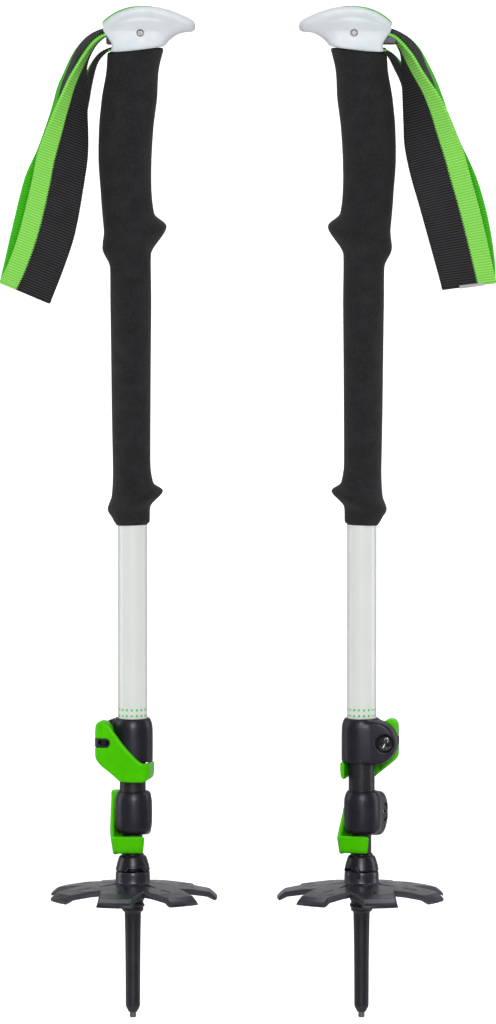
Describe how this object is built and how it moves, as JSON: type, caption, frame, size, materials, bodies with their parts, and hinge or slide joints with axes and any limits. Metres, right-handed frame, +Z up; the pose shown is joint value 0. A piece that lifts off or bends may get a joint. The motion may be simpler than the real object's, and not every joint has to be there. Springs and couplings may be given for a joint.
{
  "type": "trekking poles",
  "caption": "Pair of collapsible walking poles with foam grips, wrist loops, lever clamps on telescoping tubes and snow baskets.",
  "frame": {"origin": "midway between the two tips, at the height of their lowest points", "axes": "+Z up along both poles, +X from the left pole to the right pole, +Y away from the viewer"},
  "size_m": [0.3024, 0.103, 0.6202],
  "materials": {
    "grip_foam": "fine closed-cell foam, matt",
    "pommel_white": "satin moulded plastic",
    "green_plastic": "satin to glossy moulded plastic",
    "strap_fabric": "ribbed webbing, green stripe on black",
    "wedge_plastic": "matt moulded plastic",
    "tube_white": "satin lacquer over aluminium",
    "tube_dark": "dark satin anodising",
    "clamp_black": "glass-filled nylon, matt",
    "steel": "machined steel",
    "screw_black": "black oxide, glossy",
    "bush_plastic": "natural acetal",
    "foot_plastic": "tough matt plastic",
    "basket_plastic": "tough matt plastic"
  },
  "bodies": {
    "left_grip": {"left_upper_shaft": "tube_white", "left_grip_stem": "bush_plastic", "left_foam_grip": "grip_foam", "left_pommel": "pommel_white", "left_pommel_inlay": "green_plastic", "left_strap_pin": "steel", "left_upper_clamp_collar": "clamp_black", "left_upper_clamp_barrel": "steel", "left_upper_clamp_wear_plate": "steel"},
    "left_strap": {"left_strap_webbing": "strap_fabric"},
    "left_wedge": {"left_strap_wedge": "wedge_plastic"},
    "left_upper_lever": {"left_upper_clamp_lever": "green_plastic"},
    "left_upper_screw": {"left_upper_clamp_screw": "screw_black"},
    "left_middle": {"left_middle_shaft": "tube_dark", "left_middle_bushing": "bush_plastic", "left_lower_clamp_collar": "clamp_black", "left_lower_clamp_barrel": "steel", "left_lower_clamp_wear_plate": "steel"},
    "left_lower_lever": {"left_lower_clamp_lever": "green_plastic"},
    "left_lower_screw": {"left_lower_clamp_screw": "screw_black"},
    "left_lower": {"left_lower_shaft": "tube_dark", "left_lower_bushing": "bush_plastic", "left_tip_ferrule": "foot_plastic", "left_carbide_tip": "steel"},
    "left_basket": {"left_basket": "basket_plastic"},
    "right_grip": {"right_upper_shaft": "tube_white", "right_grip_stem": "bush_plastic", "right_foam_grip": "grip_foam", "right_pommel": "pommel_white", "right_pommel_inlay": "green_plastic", "right_strap_pin": "steel", "right_upper_clamp_collar": "clamp_black", "right_upper_clamp_barrel": "steel", "right_upper_clamp_wear_plate": "steel"},
    "right_strap": {"right_strap_webbing": "strap_fabric"},
    "right_wedge": {"right_strap_wedge": "wedge_plastic"},
    "right_upper_lever": {"right_upper_clamp_lever": "green_plastic"},
    "right_upper_screw": {"right_upper_clamp_screw": "screw_black"},
    "right_middle": {"right_middle_shaft": "tube_dark", "right_middle_bushing": "bush_plastic", "right_lower_clamp_collar": "clamp_black", "right_lower_clamp_barrel": "steel", "right_lower_clamp_wear_plate": "steel"},
    "right_lower_lever": {"right_lower_clamp_lever": "green_plastic"},
    "right_lower_screw": {"right_lower_clamp_screw": "screw_black"},
    "right_lower": {"right_lower_shaft": "tube_dark", "right_lower_bushing": "bush_plastic", "right_tip_ferrule": "foot_plastic", "right_carbide_tip": "steel"},
    "right_basket": {"right_basket": "basket_plastic"}
  },
  "joints": [
    {"name": "left_strap_swing", "type": "hinge", "parent": "left_grip", "child": "left_strap", "pos_m": [-0.0904, 0, 0.6066], "axis": [0, 1, 0], "range_deg": [0, 90]},
    {"name": "left_wedge_slide", "type": "slide", "parent": "left_grip", "child": "left_wedge", "axis": [-1, 0, 0], "range_m": [0, 0.004]},
    {"name": "left_upper_lever_swing", "type": "hinge", "parent": "left_grip", "child": "left_upper_lever", "pos_m": [-0.08747, -0.00575, 0.1702], "axis": [0, 0, -1], "range_deg": [0, 150]},
    {"name": "left_upper_screw_turn", "type": "hinge", "parent": "left_grip", "child": "left_upper_screw", "pos_m": [-0.08747, -0.00575, 0.1702], "axis": [0.1736, 0.9848, 0], "range_deg": [-180, 180]},
    {"name": "left_lower_lever_swing", "type": "hinge", "parent": "left_middle", "child": "left_lower_lever", "pos_m": [-0.07776, 0.01568, 0.1252], "axis": [0, 0, -1], "range_deg": [0, 150]},
    {"name": "left_lower_screw_turn", "type": "hinge", "parent": "left_middle", "child": "left_lower_screw", "pos_m": [-0.07776, 0.01568, 0.1252], "axis": [0.9994, -0.0349, 0], "range_deg": [-180, 180]},
    {"name": "left_middle_slide", "type": "slide", "parent": "left_grip", "child": "left_middle", "axis": [0, 0, -1], "range_m": [0, 0.375]},
    {"name": "left_lower_slide", "type": "slide", "parent": "left_middle", "child": "left_lower", "axis": [0, 0, -1], "range_m": [0, 0.405]},
    {"name": "left_basket_slide", "type": "slide", "parent": "left_lower", "child": "left_basket", "axis": [0, 0, -1], "range_m": [0, 0.085]},
    {"name": "right_strap_swing", "type": "hinge", "parent": "right_grip", "child": "right_strap", "pos_m": [0.0904, 0, 0.6066], "axis": [0, -1, 0], "range_deg": [0, 90]},
    {"name": "right_wedge_slide", "type": "slide", "parent": "right_grip", "child": "right_wedge", "axis": [-1, 0, 0], "range_m": [0, 0.004]},
    {"name": "right_upper_lever_swing", "type": "hinge", "parent": "right_grip", "child": "right_upper_lever", "pos_m": [0.08747, 0.00575, 0.1702], "axis": [0, 0, -1], "range_deg": [0, 150]},
    {"name": "right_upper_screw_turn", "type": "hinge", "parent": "right_grip", "child": "right_upper_screw", "pos_m": [0.08747, 0.00575, 0.1702], "axis": [-0.1736, -0.9848, 0], "range_deg": [-180, 180]},
    {"name": "right_lower_lever_swing", "type": "hinge", "parent": "right_middle", "child": "right_lower_lever", "pos_m": [0.06656, 0.01715, 0.1252], "axis": [0, 0, -1], "range_deg": [0, 150]},
    {"name": "right_lower_screw_turn", "type": "hinge", "parent": "right_middle", "child": "right_lower_screw", "pos_m": [0.06656, 0.01715, 0.1252], "axis": [0.9563, -0.2924, 0], "range_deg": [-180, 180]},
    {"name": "right_middle_slide", "type": "slide", "parent": "right_grip", "child": "right_middle", "axis": [0, 0, -1], "range_m": [0, 0.375]},
    {"name": "right_lower_slide", "type": "slide", "parent": "right_middle", "child": "right_lower", "axis": [0, 0, -1], "range_m": [0, 0.405]},
    {"name": "right_basket_slide", "type": "slide", "parent": "right_lower", "child": "right_basket", "axis": [0, 0, -1], "range_m": [0, 0.085]},
    {"name": "pair_spacing", "type": "slide", "parent": "left_grip", "child": "right_grip", "axis": [1, 0, 0], "range_m": [0, 0.2]}
  ]
}
